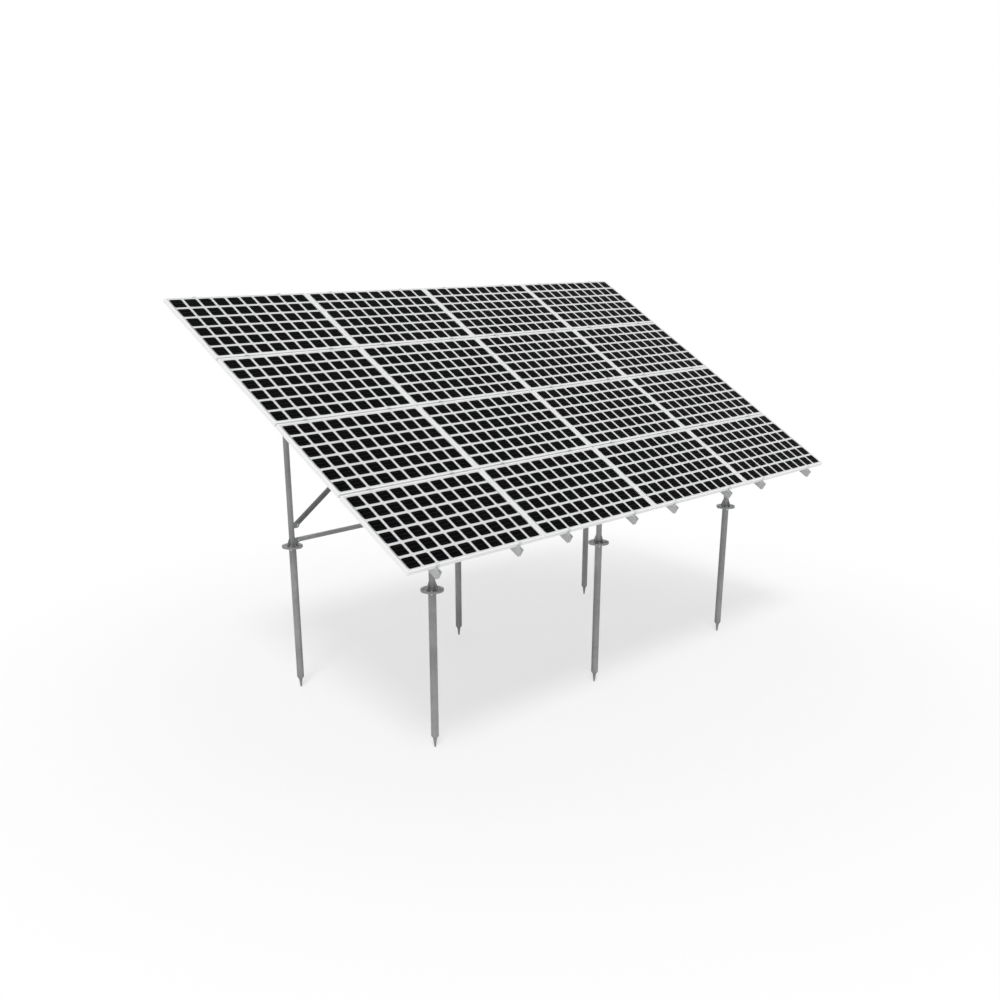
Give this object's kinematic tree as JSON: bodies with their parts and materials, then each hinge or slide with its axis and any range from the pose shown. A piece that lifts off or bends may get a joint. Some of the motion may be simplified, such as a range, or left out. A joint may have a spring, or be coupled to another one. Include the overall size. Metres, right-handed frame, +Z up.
{
  "type": "solar panel mounting system",
  "caption": "Tilted table of framed solar modules on slope rails and cross beams, carried by braced posts on flanged ground screws.",
  "frame": {"origin": "level with the flat points of the ground screws, below the middle of the mounting's outline; ground level is 1.375 m above it", "axes": "+X along the array to the right seen from its low edge, +Y towards its high edge, +Z up"},
  "size_m": [6.62, 3.6212, 4.1283],
  "materials": {
    "module_frame": "satin white anodised aluminium",
    "laminate": "white backsheet with black cells behind clear flat glass",
    "junction_box": "matte black moulding",
    "rail": "extruded, satin natural anodised",
    "clamp": "extruded, satin natural anodised",
    "galvanised_steel": "hot-dip galvanised, matte grey"
  },
  "bodies": {
    "root": {"module_frame_r1c1": "module_frame", "module_frame_r1c2": "module_frame", "module_frame_r1c3": "module_frame", "module_frame_r1c4": "module_frame", "module_frame_r2c1": "module_frame", "module_frame_r2c2": "module_frame", "module_frame_r2c3": "module_frame", "module_frame_r2c4": "module_frame", "module_frame_r3c1": "module_frame", "module_frame_r3c2": "module_frame", "module_frame_r3c3": "module_frame", "module_frame_r3c4": "module_frame", "module_frame_r4c1": "module_frame", "module_frame_r4c2": "module_frame", "module_frame_r4c3": "module_frame", "module_frame_r4c4": "module_frame", "laminate_row_1": "laminate", "laminate_row_2": "laminate", "laminate_row_3": "laminate", "laminate_row_4": "laminate", "junction_boxes": "junction_box", "slope_rail_1": "rail", "slope_rail_2": "rail", "slope_rail_3": "rail", "slope_rail_4": "rail", "slope_rail_5": "rail", "slope_rail_6": "rail", "slope_rail_7": "rail", "slope_rail_8": "rail", "rail_brackets": "clamp", "mid_clamps": "clamp", "end_clamps": "clamp", "front_beam": "galvanised_steel", "front_post_left": "galvanised_steel", "ground_screw_front_left": "galvanised_steel", "front_post_middle": "galvanised_steel", "ground_screw_front_middle": "galvanised_steel", "front_post_right": "galvanised_steel", "ground_screw_front_right": "galvanised_steel", "rear_beam": "galvanised_steel", "rear_post_left": "galvanised_steel", "ground_screw_rear_left": "galvanised_steel", "rear_post_middle": "galvanised_steel", "ground_screw_rear_middle": "galvanised_steel", "rear_post_right": "galvanised_steel", "ground_screw_rear_right": "galvanised_steel", "rear_tie_left": "galvanised_steel", "rear_brace_left": "galvanised_steel", "rear_tie_right": "galvanised_steel", "rear_brace_right": "galvanised_steel"}
  },
  "joints": []
}
